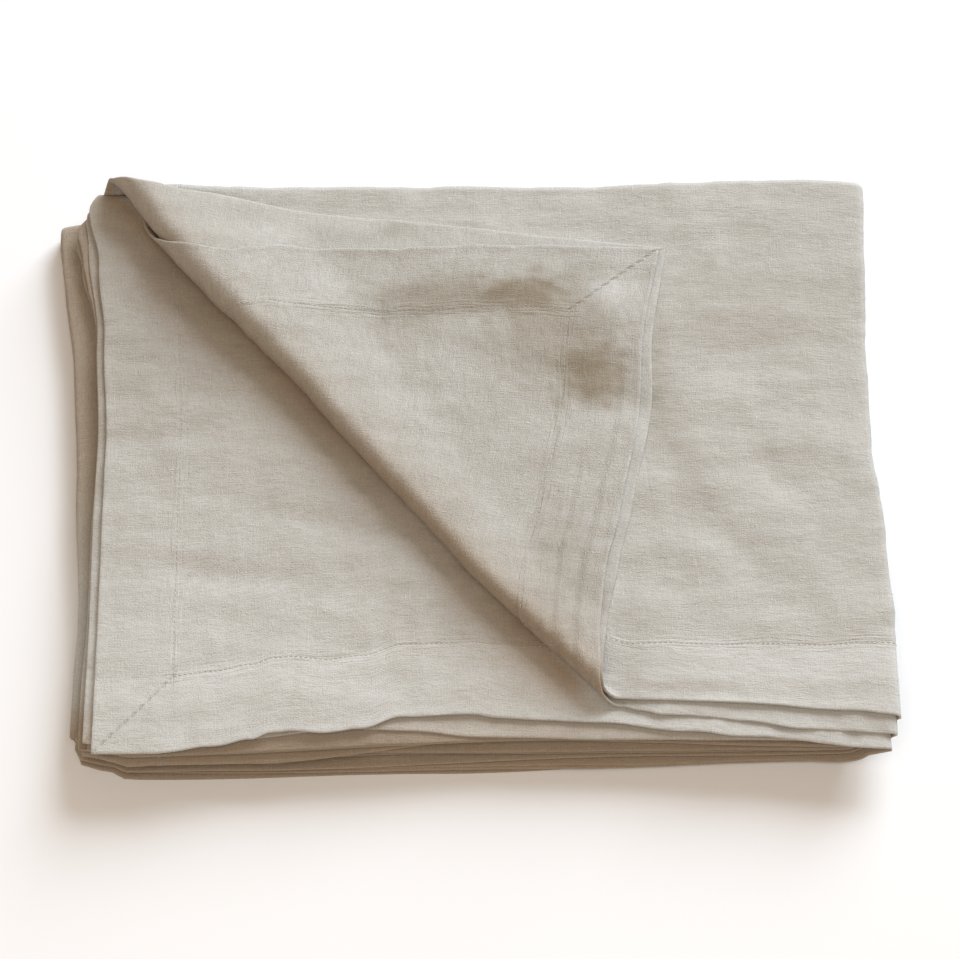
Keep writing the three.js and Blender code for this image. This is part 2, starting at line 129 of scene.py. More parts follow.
# the lower layers' left end: how far right it is, and how far in from the near and far edges
LOWER_LEFT = {"at": [0, 60, 120, 190, 260, 330, 355], "out": [0, 3, 2.5, 5.5, 6, 0.5, -3.5]}
LOWER_NEAR = {"at": [-30, -7, -2, 14, 26], "out": [19, 18, 8, 5, 0]}
LOWER_RIGHT = {"at": [-20, 12, 50, 110], "out": [13, 13, 5, 0]}
LOWER_FAR = {"at": [-40, -20, -8, 2, 20], "out": [21, 18, 10, 7, 0]}


def ease(share):
    return (1 - np.cos(np.pi * np.clip(share, 0, 1))) / 2


def along(table, place):
    """Value of a table at a place, eased between its rows."""
    at, out = np.array(table["at"], float), np.array(table["out"], float)
    row = np.clip(np.searchsorted(at, place) - 1, 0, len(at) - 2)
    return out[row] + (out[row + 1] - out[row]) * ease((place - at[row]) / (at[row + 1] - at[row]))


def near(distance):
    return 1 - ease(distance / EDGE_REACH)


print("the left hem stands out", along(LEFT_HEM, np.array([300.0])), "mm at 300")

# %% [markdown]
# ## One fold
# Folding half the stack under the other half is a bend round a line. A layer's distance from
# that line is its radius, so the outer layers travel further round and none ever meet. Past
# the bend, cloth slips a little, so that the loops inside stay one above the other.

# %% Fold a stack under itself
def squared(angle, pressed):
    """How much further out than round a pressed fold's section stands, above and below."""
    power = np.where(angle < math.pi / 2, *pressed)
    return (np.sin(angle) ** power + np.abs(np.cos(angle)) ** power) ** (-1 / power)


def fold_under(point, axis, crease, layers, evened=None, pressed=(2.0, 2.0)):
    """Bends points past a crease under the layers. Returns how far round each one went."""
    turning_line = -(layers - 0.5) * PITCH
    past = point[axis] - crease
    radius = point[2] - turning_line
    angle = np.clip(past / radius, 0, math.pi)
    run = past - math.pi * radius
    slip = 0 if evened is None else (evened - radius) * ease(run / EVENED_OVER)
    flat, turned = past <= 0, run > 0
    section = radius * squared(angle, pressed)
    moved = np.where(turned, crease - run + math.pi * slip, crease + section * np.sin(angle))
    point[axis] = np.where(flat, point[axis], moved)
    point[2] = np.where(flat, point[2], turning_line + section * np.cos(angle))
    return np.where(flat, 0, angle)


FOLDS = [
    {"axis": 1, "crease": FIRST, "layers": 1, "line": FIRST_FOLD_LINE},
    {"axis": 0, "crease": SECOND, "layers": 2, "line": SECOND_FOLD_LINE,
     "pressed": (4.0, 3.0)},
    {"axis": 1, "crease": THIRD, "layers": 4, "evened": wrap_radius(1), "pressed": (3.0, 2.5)},
    {"axis": 0, "crease": FOURTH, "layers": 8, "evened": wrap_radius(2.5), "pressed": (5.0, 2.2)},
]
LEAN, TUCK = 0.3, 0.02                       # the right side leans out at the top, in at the foot


def stacked(u, v):
    """The stack before its corner is turned back: points, layer after the first two folds,
    share of the corner's turn, and how far round each fold."""
    point = np.array([
        u - along(LEFT_HEM, v) * near(u) + along(RIGHT_HEM, v) * near(CLOTH_LENGTH - u),
        v - along(NEAR_HEM, u) * near(v) + along(FAR_HEM, u) * near(CLOTH_WIDTH - v)
        + along(NEAR_HEM_SEAM, u) * ease(v / SEAM_CENTRE)
        * (1 - ease((v - SEAM_CENTRE) / SEAM_FADE)),
        np.zeros_like(u)])
    turns = []
    for fold in FOLDS:
        if fold["layers"] == 4:
            layer = np.round(-point[2] / PITCH)
        turns.append(fold_under(point, fold["axis"], fold["crease"], fold["layers"],
                                fold.get("evened"), fold.get("pressed", (2.0, 2.0))))
        if "line" in fold:
            axis = fold["axis"]
            reach = near(fold["crease"] - 20 - point[axis])
            point[axis] = point[axis] + along(fold["line"], point[1 - axis]) * reach
    up = point[2] + wrap_radius(7)
    lean = LEAN * up - TUCK * np.minimum(up, 0) ** 2
    point[0] = point[0] + (along(RIGHT_OUTLINE, point[1]) + lean) * near(FOURTH - point[0])
    point[1] = point[1] + along(FAR_OUTLINE, point[0]) * near(THIRD - point[1])
    deep = ease((-point[2] - 3) / 11)
    point[0] = point[0] + deep * along(LOWER_LEFT, point[1]) * near(point[0])
    point[0] = (point[0] - ease((-point[2] - 6) / 10) * along(LOWER_RIGHT, point[1])
                * near(FOURTH - point[0]))
    point[1] = (point[1] + deep * along(LOWER_NEAR, point[0]) * near(point[1])
                - deep * along(LOWER_FAR, point[0]) * near(THIRD - point[1]))
    share = np.where((layer < 2) & (turns[3] == 0), (1 + np.cos(turns[2])) / 2, 0)
    return point, layer, share, turns


middle_of_cloth, _, _, _ = stacked(np.array([CLOTH_LENGTH / 2]), np.array([CLOTH_WIDTH / 2]))
print("the middle of the cloth ends up at", np.round(middle_of_cloth.ravel(), 1))

# %% [markdown]
# ## The turned-back corner
# The corner of the two top layers is lifted and laid back across the stack. Where it turns it
# makes a loose roll, wide at the far left and pinched at the near edge. Its section is a bit
# more than half a circle, a straight slope down, and a gentle curve onto the layer below.

# %% Roll the corner back
ROLL_NEAR, ROLL_FAR = np.array([324.4, 5.0]), np.array([19.5, 361.6])
ROLL_NEAR_RADIUS, ROLL_FAR_RADIUS = 4.5, 10.5
DESCENT, LANDING = 0.22, 60.0                # slope down, and the radius it lands on
BOW_START, BOW_REACH = 5.0, 120.0            # where the roll's bow starts to die out, and over what
ROLL_BOW = {"at": [0, 30, 75, 105, 155, 200, 240, 297, 355, 412, 440, 469],
            "out": [-5, -2.5, 1, 4, 3, 2.5, 2, -0.5, 1, 0.5, -0.5, -4]}

roll_length = float(np.linalg.norm(ROLL_FAR - ROLL_NEAR))
roll_axis = (ROLL_FAR - ROLL_NEAR) / roll_length
towards_corner = np.array([-roll_axis[1], roll_axis[0]])


def roll_place(x, y):
    """Distances along the roll's crease and past it, towards the corner."""
    dx, dy = x - ROLL_NEAR[0], y - ROLL_NEAR[1]
    return dx * roll_axis[0] + dy * roll_axis[1], dx * towards_corner[0] + dy * towards_corner[1]


def roll_over(past, t, layer):
    """Where a point past the crease goes: across, towards the corner, and up."""
    widening = (np.maximum(0, t) / roll_length) ** 2
    radius = ROLL_NEAR_RADIUS + (ROLL_FAR_RADIUS - ROLL_NEAR_RADIUS) * widening + layer * PITCH
    landing = LANDING - layer * PITCH
    rise = (1 + 2 * layer) * PITCH
    sine, cosine = math.sin(DESCENT), math.cos(DESCENT)
    slope = np.maximum(0, (radius * (1 + cosine) - landing * (1 - cosine) - rise) / sine)
    arc = radius * (math.pi + DESCENT)
    angle = past / radius
    run = past - arc - slope
    left = np.clip(DESCENT - run / landing, 0, DESCENT)
    down = np.clip(past - arc, 0, slope)
    foot = -radius * sine - down * cosine
    across = np.where(past < arc, radius * np.sin(angle),
                      foot - np.where(run > 0, landing * (sine - np.sin(left)), 0)
                      - np.maximum(0, run - landing * DESCENT))
    up = np.where(past < arc, radius * (1 - np.cos(angle)),
                  np.where(run > 0, rise + landing * (1 - np.cos(left)),
                           radius * (1 + cosine) - down * sine))
    return across, up


def bow_of_flat(past, t):
    """The flat part before the crease bows with the roll, over the same distance."""
    return along(ROLL_BOW, t) * (1 - ease((-BOW_START - np.minimum(past, 0)) / BOW_REACH))


def turn_corner_back(point, layer, share):
    """Moves the points of the two top layers that lie past the crease."""
    t, past = roll_place(point[0], point[1])
    turned = (past > 0) & (share > 0)
    across, up = roll_over(np.maximum(past, 0), t, np.minimum(layer, 1))
    across = across + along(ROLL_BOW, t) * (1 - ease((-BOW_START - across) / BOW_REACH))
    move = np.where(turned, (across - past) * share, bow_of_flat(past, t) * share)
    point[0] = point[0] + towards_corner[0] * move
    point[1] = point[1] + towards_corner[1] * move
    point[2] = point[2] + np.where(turned, up * share, 0)


print("the roll is", round(roll_length), "mm long")

# %% [markdown]
# ## Creases and crumple
# Linen holds every crease. Smooth noise from a lattice of seeded gradients gives the crumple,
# stretched along the yarns, because a woven cloth crumples along them first.

# %% Seeded noise
def noise(x, y, seed):
    """Smooth gradient noise over a plane, about -0.7 to 0.7."""
    x0, y0 = np.floor(x), np.floor(y)
    fx, fy = x - x0, y - y0
    sx, sy = (f * f * f * (f * (f * 6 - 15) + 10) for f in (fx, fy))

    def corner(dx, dy):
        mixed = (x0 + dx) * 127.1 + (y0 + dy) * 311.7 + seed * 74.7
        angle = np.sin(mixed) * 43758.5453
        angle = (angle - np.floor(angle)) * 2 * math.pi
        return np.cos(angle) * (fx - dx) + np.sin(angle) * (fy - dy)

    low = corner(0, 0) * (1 - sx) + corner(1, 0) * sx
    high = corner(0, 1) * (1 - sx) + corner(1, 1) * sx
    return low * (1 - sy) + high * sy


def crumple(u, v, seed):
    """Height of small crumples in millimetres, along both yarns and across them."""
    along_length = noise(u / 46, v / 11, seed) + 0.6 * noise(u / 24, v / 6.5, seed + 1)
    along_width = noise(u / 12, v / 50, seed + 2) + 0.6 * noise(u / 7, v / 27, seed + 3)
    soft = noise(u / 31, v / 29, seed + 4)
    strength = 0.5 + 0.9 * ease(0.5 + noise(u / 85, v / 75, seed + 5) * 1.3)
    return (0.55 * along_length + 0.40 * along_width + 1.0 * soft) * strength


def sharp_fold(u, v, seed):
    """Fine pressed creases: narrow valleys where a slow noise changes sign."""
    slow = noise(u / 70, v / 38, seed) + 0.35 * noise(u / 21, v / 17, seed + 1)
    valley = np.exp(-(slow / 0.035) ** 2)
    return -0.40 * valley * ease(noise(u / 60, v / 60, seed + 2) * 1.6 + 0.3)


sample = crumple(*np.meshgrid(np.arange(0, 300, 3.0), np.arange(0, 300, 3.0)), 3)
print("crumple from", round(float(sample.min()), 2), "to", round(float(sample.max()), 2), "mm")

# %% [markdown]
# ## Broad hollows and swells
# The whole top of the stack rises and sinks gently. That is done to all the upper layers at
# once, less and less further down, so they keep their distance and the lowest rests flat.

# %% Unevenness of the whole stack
DIPS = {"x": [352, 398, 440, 60, 40, 150], "y": [195, 118, 150, 96, 190, 130],
        "turn": [-64, -56, -50, -8, 5, -12], "long": [34, 42, 30, 60, 40, 70],
        "wide": [13, 15, 12, 8, 7, 9], "deep": [1.9, 2.2, 1.6, 1.3, 1.0, 1.3]}


def dips(x, y):
    """Long soft hollows pressed into the upper layers: place, turn in degrees, size, depth."""
    total = np.zeros_like(x)
    for at_x, at_y, turn, length, width, depth in zip(*DIPS.values()):
        cosine, sine = math.cos(math.radians(turn)), math.sin(math.radians(turn))
        lengthways = (x - at_x) * cosine + (y - at_y) * sine
        sideways = (y - at_y) * cosine - (x - at_x) * sine
        total += depth * np.exp(-(lengthways / length) ** 4 - (sideways / width) ** 2)
    return total


def unevenness(point):
    x, y, z = point
    wave = 0.9 * np.sin(x / 71 + 0.6) * np.sin(y / 58 + 1.1) + 0.7 * np.sin((x + y) / 96 + 2)
    wave = wave + 2.4 * noise(x / 105 + 3.1, y / 90 + 1.7, 41)
    wave = wave + 1.2 * noise(x / 74, y / 24, 43) + 0.5 * noise(x / 36, y / 12, 44)
    wave = wave + 0.6 * noise(x / 24, y / 60, 45) - dips(x, y)
    # the roll stands up a little more at its far tip
    roll_tip = 5 * np.exp(-((x - 10) / 11) ** 2 - ((y - 375) / 25) ** 2) * ease(z / 14)
    return wave * np.clip(1 + (z + 2 * PITCH) / (6 * PITCH), 0, 1) + roll_tip


def edge_distance(u, v):
    return np.minimum(np.minimum(u, CLOTH_LENGTH - u), np.minimum(v, CLOTH_WIDTH - v))


def folded(u, v):
    """The sheet's middle surface, all folded, in millimetres."""
    point, layer, share, _ = stacked(u, v)
    turn_corner_back(point, layer, share)
    point[2] = point[2] + unevenness(point)
    return point


def frame_of(u, v, step=0.2):
    """Point, unit normal on the wrong side, and the two directions of the yarns."""
    du = folded(np.minimum(u + step, CLOTH_LENGTH), v) - folded(np.maximum(u - step, 0), v)
    dv = folded(u, np.minimum(v + step, CLOTH_WIDTH)) - folded(u, np.maximum(v - step, 0))
    normal = np.cross(du, dv, axis=0)
    return [folded(u, v)] + [w / np.linalg.norm(w, axis=0) for w in (normal, du, dv)]


# %% [markdown]
# ## The flat mesh
# The flat rectangle is divided by lines: close together round every crease and along the
# stitching, wide apart elsewhere. Cells that will be seen are then divided again to about
# 3 mm. A cell takes in the corners of finer neighbours, so the mesh has no gaps.

# %% Lines across the cloth
def arc_steps(*radii):
    steps = set()
    for radius in radii:
        count = max(4, math.ceil(math.pi * radius / 3.1))
        steps |= {math.pi * radius * i / count for i in range(count + 1)}
    return sorted(steps)


def ruled(special, widest, closest=0.55):
    """Special lines, thinned where too close, with even ones between them."""
    kept = []
    for place in sorted(special):
        if not kept or place - kept[-1] > closest:
            kept.append(place)
    lines = []
    for low, high in zip(kept, kept[1:]):
        count = max(1, math.ceil((high - low) / widest))
        lines += [low + (high - low) * i / count for i in range(count)]
    return lines + [kept[-1]]


HEM_LINES = [0.0, 1.7, HEM_WIDTH - 1.9, HEM_WIDTH - 0.4]
u_special = (HEM_LINES + [CLOTH_LENGTH - d for d in HEM_LINES]
             + [FOURTH + s for s in arc_steps(*(wrap_radius(n) for n in (7, 6, 1, 0)))]
             + [SECOND + s for s in arc_steps(wrap_radius(0), wrap_radius(1))]
             + [CLOTH_LENGTH - FOURTH + 7 - s for s in np.arange(0, 46, 3.0)]
             + [end for s in (6.0, 12.0, 19.0, 27.0)
                for end in (s, CLOTH_LENGTH - s, SECOND - s, SECOND + 4 + s)])
v_special = (HEM_LINES + [CLOTH_WIDTH - d for d in HEM_LINES]
             + [FIRST + s for s in arc_steps(wrap_radius(0))]
             + [THIRD + s for s in arc_steps(wrap_radius(3), wrap_radius(0))]
             + [CLOTH_WIDTH - THIRD - s for s in arc_steps(wrap_radius(2), wrap_radius(1))])
WIDEST = 24.0
u_lines, v_lines = ruled(u_special, WIDEST), ruled(v_special, WIDEST)
print(len(u_lines), "by", len(v_lines), "lines")


# %% Fineness of each cell
UNDIVIDED, EDGE_CELL, SEEN_CELL = 1000.0, 8.0, 3.1


def wanted_size(u, v):
    """Side of the small squares that a place of the cloth needs, in millimetres."""
    point, layer, _, turns = stacked(u, v)
    _, past = roll_place(point[0], point[1])
    top = (layer == 0) & (turns[3] < 2) & (turns[2] < 2)
    second = (layer == 1) & (turns[3] < 2) & (turns[2] < 2)
    third = (layer == 2) & (turns[3] < 1.5) & (turns[2] < 1.5)
    front = (v < 60) | (v > CLOTH_WIDTH - 60)
    side = (u < 40) | (u > CLOTH_LENGTH - 40)
    size = np.full_like(u, UNDIVIDED)
    size[(layer <= 3) & (front | side)] = EDGE_CELL
    shown = (top & ((past < -150) | (point[0] > 330))) | (top & (past > -5) & side)
    shown |= top & (past < -5) & (point[1] > 290)
    shown |= second & (past > -12)
    shown |= third & (past > -45)
    size[shown | ((layer <= 2) & front & (turns[3] < 2) & (turns[2] < 2))] = SEEN_CELL
    return size


centres = np.array([[(u_lines[i] + u_lines[i + 1]) / 2, (v_lines[j] + v_lines[j + 1]) / 2]
                    for i in range(len(u_lines) - 1) for j in range(len(v_lines) - 1)])
cell_size = wanted_size(centres[:, 0], centres[:, 1]).reshape(len(u_lines) - 1, -1)
print("fine cells:", int((cell_size < EDGE_CELL).sum()), "of", cell_size.size)


# %% Corners and cells
def divide_cells():
    """Flat corners (u, v) and the cells' corner numbers, anticlockwise."""
    numbers, places, cells = {}, [], []
    on_u, on_v = {}, {}

    def corner(u, v):
        key = (round(u, 4), round(v, 4))
        if key not in numbers:
            numbers[key] = len(places)
            places.append((u, v))
            on_u.setdefault(key[0], set()).add(key[1])
            on_v.setdefault(key[1], set()).add(key[0])
        return key

    for i in range(len(u_lines) - 1):
        for j in range(len(v_lines) - 1):
            size = cell_size[i, j]
            us = np.linspace(u_lines[i], u_lines[i + 1],
                             max(1, round((u_lines[i + 1] - u_lines[i]) / size)) + 1)
            vs = np.linspace(v_lines[j], v_lines[j + 1],
                             max(1, round((v_lines[j + 1] - v_lines[j]) / size)) + 1)
            for a, b in zip(us, us[1:]):
                for c, d in zip(vs, vs[1:]):
                    cells.append([corner(a, c), corner(b, c), corner(b, d), corner(a, d)])
    on_u = {k: np.array(sorted(s)) for k, s in on_u.items()}
    on_v = {k: np.array(sorted(s)) for k, s in on_v.items()}

    def between(p, q):
        """Corners of other cells on the side from p to q."""
        if p[0] == q[0]:
            line = on_u[p[0]]
            low, high = sorted((p[1], q[1]))
            found = [(p[0], x) for x in line[np.searchsorted(line, low + 1e-3):
                                             np.searchsorted(line, high - 1e-3)]]
            return found if q[1] > p[1] else found[::-1]
        line = on_v[p[1]]
        low, high = sorted((p[0], q[0]))
        found = [(x, p[1]) for x in line[np.searchsorted(line, low + 1e-3):
                                         np.searchsorted(line, high - 1e-3)]]
        return found if q[0] > p[0] else found[::-1]

    full = []
    for cell in cells:
        ring = []
        for p, q in zip(cell, cell[1:] + cell[:1]):
            ring.append(numbers[p])
            ring += [numbers[(float(a), float(b))] for a, b in between(p, q)]
        full.append(ring)
    return np.array(places), full


flat_corners, flat_cells = divide_cells()
print(len(flat_corners), "corners,", len(flat_cells), "cells")

# %% [markdown]
# ## The folded sheet, with its thickness
# Each corner is carried through the folds and given its crumple. The wrong side, which shows,
# stands higher along the hem, where the edge is turned in twice. The stitching draws the hem
# into small puckers. The cloth's edges are rounded.

# %% Relief of the wrong side
STITCH_LINE = HEM_WIDTH - 2.2


def hem_relief(u, v):
    """Extra height on the wrong side: the turned plies, and puckers along the stitching."""
    inside = edge_distance(u, v)
    ply = HEM_EXTRA * (1 - ease((inside - (HEM_WIDTH - 3.5)) / 4))
    side_ways = np.where(np.minimum(u, CLOTH_LENGTH - u) < np.minimum(v, CLOTH_WIDTH - v), v, u)
    from_stitch = np.abs(inside - STITCH_LINE)
    pucker = noise(side_ways / 6.5, inside / 30, 17) + 0.5 * noise(side_ways / 13, inside / 40, 18)
    return ply + 0.22 * pucker * np.exp(-(from_stitch / 9) ** 2)


# %% Places on both faces
MOST_CRUMPLE = 0.75                          # layers may not meet, so crumple is held under this


def both_faces(u, v):
    """Places on the wrong side and on the right side, the normal, and the yarns' directions."""
    middle, normal, along_u, along_v = frame_of(u, v)
    point, layer, _, turns = stacked(u, v)
    top_layers = (layer <= 2) & (turns[3] < 2.5)
    amount = np.where(top_layers, 1.0, 0.35)
    inside = edge_distance(u, v)
    ruffle = noise((u + v) / 9, (u - v) / 15, 23) * np.exp(-inside / 13)
    bump = 1.2 * crumple(u, v, 5) + sharp_fold(u, v, 9) + 0.6 * ruffle
    bump = MOST_CRUMPLE * np.tanh(bump * amount / MOST_CRUMPLE)
    middle = middle + normal * bump
    _, past = roll_place(point[0], point[1])
    on_flap = (layer < 2) & (turns[3] == 0) & (past > 0)
    lip = np.where(on_flap, 0.9, 0.4) * np.exp(-(inside / 2.6) ** 2)
    wrong = middle + normal * (THICKNESS / 2 + hem_relief(u, v) + lip)
    right = middle - normal * THICKNESS / 2
    return wrong, right, normal, along_u, along_v


u_all, v_all = flat_corners[:, 0].copy(), flat_corners[:, 1].copy()
wrong, right, normal, along_u, along_v = both_faces(u_all, v_all)
floor_level = -(LAYERS - 1) * PITCH - THICKNESS / 2
print("sheet from", np.round(wrong.min(1), 1), "to", np.round(wrong.max(1), 1))


# %% Round the rim
def border():
    """Numbers of the corners round the flat cloth's edge, anticlockwise."""
    on = lambda mask, key, back=False: sorted(np.flatnonzero(mask), key=key, reverse=back)
    low = on(v_all == 0, lambda n: u_all[n])
    right_side = on(np.isclose(u_all, CLOTH_LENGTH), lambda n: v_all[n])
    high = on(np.isclose(v_all, CLOTH_WIDTH), lambda n: u_all[n], True)
    left_side = on(u_all == 0, lambda n: v_all[n], True)
    return low[:-1] + right_side[:-1] + high[:-1] + left_side[:-1]


edge_loop = border()
outward = (np.where(u_all < 1, -1, np.where(u_all > CLOTH_LENGTH - 1, 1, 0)) * along_u
           + np.where(v_all < 1, -1, np.where(v_all > CLOTH_WIDTH - 1, 1, 0)) * along_v)
outward = outward / np.maximum(np.linalg.norm(outward, axis=0), 1e-9)
rings = []
for angle in (math.pi / 4, math.pi / 2, 3 * math.pi / 4):
    centre = (wrong + right)[:, edge_loop] / 2
    radius = np.linalg.norm((wrong - right)[:, edge_loop], axis=0) / 2
    rings.append(centre + normal[:, edge_loop] * radius * math.cos(angle)
                 + outward[:, edge_loop] * radius * math.sin(angle))

count, loop = len(u_all), len(edge_loop)
points = np.concatenate([wrong, right] + rings, axis=1)
points[2] = np.maximum(points[2], floor_level)
faces = list(flat_cells) + [[n + count for n in reversed(cell)] for cell in flat_cells]
ladder = [list(edge_loop)] + [list(range(2 * count + k * loop, 2 * count + (k + 1) * loop))
                              for k in range(len(rings))] + [[n + count for n in edge_loop]]
for upper, lower in zip(ladder, ladder[1:]):
    faces += [[upper[i], lower[i], lower[(i + 1) % loop], upper[(i + 1) % loop]]
              for i in range(loop)]

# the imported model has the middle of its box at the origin, so the stack's corner goes here
STACK_CORNER = (-235.27, -174.88)
shift = np.array([*STACK_CORNER, -points[2].min()])
points = (points + shift[:, None]) * MM

cloth_mesh = bpy.data.meshes.new("linen_cloth")
cloth_mesh.from_pydata(points.T.tolist(), [], faces)
cloth_mesh.validate()
cloth = bpy.data.objects.new("linen_cloth", cloth_mesh)
bpy.context.scene.collection.objects.link(cloth)
cloth_mesh.polygons.foreach_set("use_smooth", [True] * len(cloth_mesh.polygons))



def on_every_corner(values):
    """A value of the flat corners, repeated for both faces and the rings of the rim."""
    return np.concatenate([values, values] + [values[edge_loop]] * len(rings))


flat_u, flat_v = on_every_corner(u_all), on_every_corner(v_all)
corner_of = np.empty(len(cloth_mesh.loops), np.int32)
cloth_mesh.loops.foreach_get("vertex_index", corner_of)
flat_map = cloth_mesh.uv_layers.new(name="flat")
flat_map.data.foreach_set("uv", np.stack(
    [flat_u[corner_of] / CLOTH_LENGTH, flat_v[corner_of] / CLOTH_LENGTH], 1).ravel())

# %% Painted shade and light: where the linen's colour is made browner or paler
# spots of painted shade and light: place, reach along X and Y, and depth: painted brown shade above
# nought, painted paler light below
SHADING_ON_FLAP = [(292, 262, 42, 46, 0.60), (219, 288, 46, 17, 0.60), (319, 227, 22, 24, 0.72),
           (270, 292, 22, 14, 0.60), (326, 293, 13, 10, -0.60), (190, 262, 30, 14, 0.20),
           (296, 92, 26, 44, 0.30)]
SHADING_ON_FLAT = [(418, 281, 66, 42, 0.20), (354, 226, 11, 66, 0.30), (376, 150, 14, 30, 0.12),
           (400, 224, 25, 18, -0.25), (425, 150, 42, 18, -0.20), (26, 262, 52, 66, 0.24),
           (86, 45, 110, 48, -0.38), (418, 40, 90, 40, -0.28), (60, 120, 60, 30, -0.15)]


def painted(spots, x, y):
    """Sum of ragged spots of painted shade and light at places of the stack."""
    total = np.zeros_like(x)
    ragged = 1 + 0.9 * noise(x / 11, y / 6, 71)
    for at_x, at_y, reach_x, reach_y, depth in spots:
        away = (((x - at_x) / reach_x) ** 2 + ((y - at_y) / reach_y) ** 2) * ragged
        total += depth * np.exp(-away ** 1.6)
    return total


def warmth(u, v):
    """Share of painted brown shade beside the roll, where it casts its shadow, on the roll, at the
    foot and on the lower layers' left side; and the painted spots of shade and light on the top.
    """
    point, layer, share, _ = stacked(u, v)
    t, past = roll_place(point[0], point[1])
    on_flap = (layer < 2) & (share > 0.5) & (past > 0)
    # painted shadow that the roll casts on the third layer, fading away from it
    beside = 0.9 * np.exp(-np.maximum(0, past - 6) / 19) * ease(past / 8) * ease((t - 4) / 30)
    beside = beside * (1 - 0.4 * np.exp(-((t - 165) / 60) ** 2)) * (layer == 2)
    # painted shade on the flap's side of the roll
    on_roll = 0.7 * np.exp(-np.maximum(0, past - 16) / 16) * ease((past - 2) / 9) * on_flap
    turn_corner_back(point, layer, share)
    spots = np.where(on_flap, painted(SHADING_ON_FLAP, point[0], point[1])
                     * (1 - ease((point[1] - 150) / 12) + ease((point[1] - 197) / 12)),
                     painted(SHADING_ON_FLAT, point[0], point[1]))
    # painted shade on the lower layers at the front, under the upper ones
    edge = np.exp(-np.maximum(0, point[1] + 4) / 9) * ease((-point[2] - 4) / 5) * 0.75
    # painted shade on the lower layers' left side
    left = np.exp(-np.maximum(0, point[0] + 2) / 8) * ease((-point[2] - 4) / 5)
    left = 0.65 * left * ease((point[1] - 60) / 120)
    shade = np.max([beside, on_roll, edge, left], axis=0)
    return np.clip(shade, 0, 1), np.clip(spots * (point[2] > -9), -1, 1)


# the painted shade and the painted spots of shade and light, kept on the corners for the linen's
# colour
for name, share in zip(("warmth", "patches"), warmth(u_all, v_all)):
    attribute = cloth_mesh.attributes.new(name, "FLOAT", "POINT")
    attribute.data.foreach_set("value", on_every_corner(share))
triangles = sum(len(p.vertices) - 2 for p in cloth_mesh.polygons)
print("cloth:", len(cloth_mesh.vertices), "corners,", triangles, "triangles")

# %% [markdown]
# ## The stitching
# A lockstitch runs round the hem, and a shorter one up each mitre. Every stitch is a short
# bent piece of thread, sunk at both ends, laid on the wrong side along the folded cloth.

# %% Hem and mitre stitches
STITCH, THREAD = 3.2, 0.38                   # length of a stitch, and the thread's thickness
STITCH_GAP = 0.09                            # share of a stitch that is left open at each end
MITRE_START = 2.5                            # how far in from the corner a mitre's seam starts
SIDES_ROUND = 5                              # of the thread


def stitch_runs():
    """Flat places of the stitches' ends, as (u0, v0, u1, v1) rows."""
    runs = []
    low, high_u, high_v = STITCH_LINE, CLOTH_LENGTH - STITCH_LINE, CLOTH_WIDTH - STITCH_LINE
    sides = [((low, low), (high_u, low)), ((high_u, low), (high_u, high_v)),
             ((high_u, high_v), (low, high_v)), ((low, high_v), (low, low))]
    for u, inner_u in ((MITRE_START, low), (CLOTH_LENGTH - MITRE_START, high_u)):
        for v, inner_v in ((MITRE_START, low), (CLOTH_WIDTH - MITRE_START, high_v)):
            sides.append(((u, v), (inner_u, inner_v)))
    for start, end in sides:
        start, end = np.array(start), np.array(end)
        number = int(np.linalg.norm(end - start) // STITCH)
        for i in range(number):
            a = start + (end - start) * (i + STITCH_GAP) / number
            b = start + (end - start) * (i + 1 - STITCH_GAP) / number
            runs.append([*a, *b])
    return np.array(runs)


runs = stitch_runs()
stations = [(0.0, -0.20, 0.6), (0.22, 0.02, 0.95), (0.5, 0.08, 1.0), (0.78, 0.02, 0.95),
            (1.0, -0.20, 0.6)]                 # share of the length, lift, share of the girth
stitch_points, stitch_faces = [], []
for share, lift, girth in stations:
    u = runs[:, 0] + (runs[:, 2] - runs[:, 0]) * share
    v = runs[:, 1] + (runs[:, 3] - runs[:, 1]) * share
    top, _, up, yarn_u, yarn_v = both_faces(u, v)
    lengthways = yarn_u * (runs[:, 2] - runs[:, 0]) + yarn_v * (runs[:, 3] - runs[:, 1])
    lengthways = lengthways / np.linalg.norm(lengthways, axis=0)
    sideways = np.cross(up, lengthways, axis=0)
    centre = top + up * lift
    for k in range(SIDES_ROUND):
        angle = 2 * math.pi * k / SIDES_ROUND
        stitch_points.append(centre + THREAD / 2 * girth * (
            sideways * math.cos(angle) + up * math.sin(angle)))
stitch_points = np.array(stitch_points)        # station and side, axis, stitch
number = len(runs)
for stitch in range(number):
    base = stitch * len(stations) * SIDES_ROUND
    for s in range(len(stations) - 1):
        for k in range(SIDES_ROUND):
            a, b = s * SIDES_ROUND + k, s * SIDES_ROUND + (k + 1) % SIDES_ROUND
            stitch_faces.append([base + a, base + b,
                                 base + b + SIDES_ROUND, base + a + SIDES_ROUND])
    last = base + (len(stations) - 1) * SIDES_ROUND
    stitch_faces.append([base + k for k in reversed(range(SIDES_ROUND))])
    stitch_faces.append([last + k for k in range(SIDES_ROUND)])
stitch_places = stitch_points.transpose(2, 0, 1).reshape(-1, 3)
stitch_places[:, 2] = np.maximum(stitch_places[:, 2], floor_level + 0.02)
stitch_places = (stitch_places + shift) * MM
thread_mesh = bpy.data.meshes.new("hem_stitching")
thread_mesh.from_pydata(stitch_places.tolist(), [], stitch_faces)
thread = bpy.data.objects.new("hem_stitching", thread_mesh)
bpy.context.scene.collection.objects.link(thread)
thread_mesh.polygons.foreach_set("use_smooth", [True] * len(thread_mesh.polygons))
tidy = bmesh.new()
tidy.from_mesh(thread_mesh)
